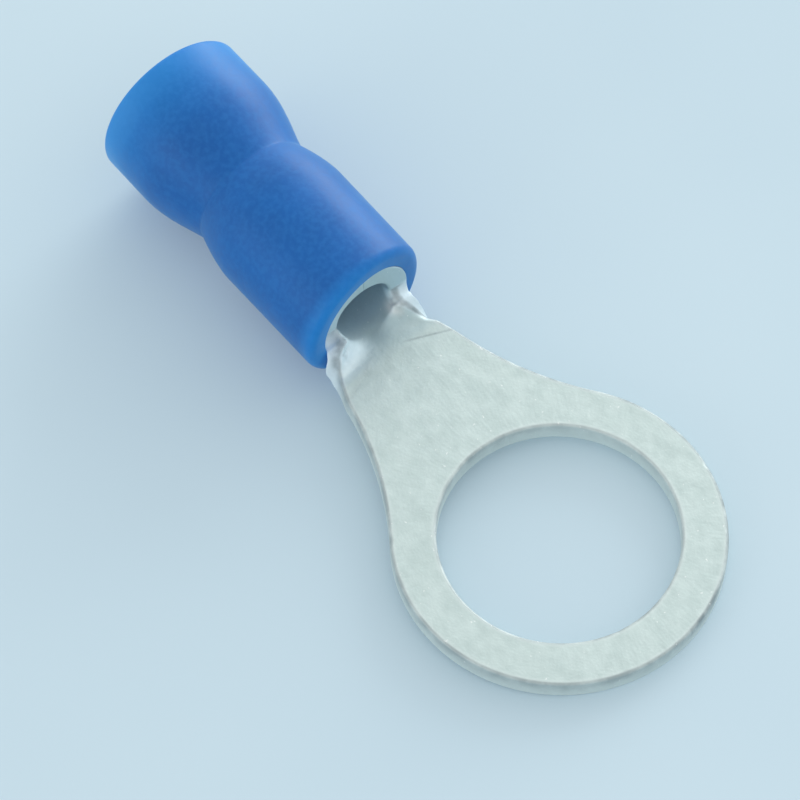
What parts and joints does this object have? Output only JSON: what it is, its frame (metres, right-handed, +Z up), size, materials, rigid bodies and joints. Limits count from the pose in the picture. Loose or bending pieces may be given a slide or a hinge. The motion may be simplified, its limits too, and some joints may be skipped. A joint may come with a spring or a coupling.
{
  "type": "ring terminal",
  "caption": "Insulated ring terminal: a flat tinned ring for a stud, a curled neck and a rolled barrel inside a blue flared sleeve that takes a stripped wire.",
  "frame": {"origin": "centre of the stud hole, on the flat underside of the ring", "axes": "+Z up through the stud hole, +X along the barrel to the wire entry, +Y across the tongue"},
  "size_m": [0.0275, 0.0116, 0.0059],
  "materials": {
    "tinned_copper": "matt tin plate, faintly mottled",
    "blue_vinyl": "satin soft vinyl, slightly translucent where it is thin"
  },
  "bodies": {
    "root": {"terminal": "tinned_copper", "insulation_sleeve": "blue_vinyl"}
  },
  "joints": []
}
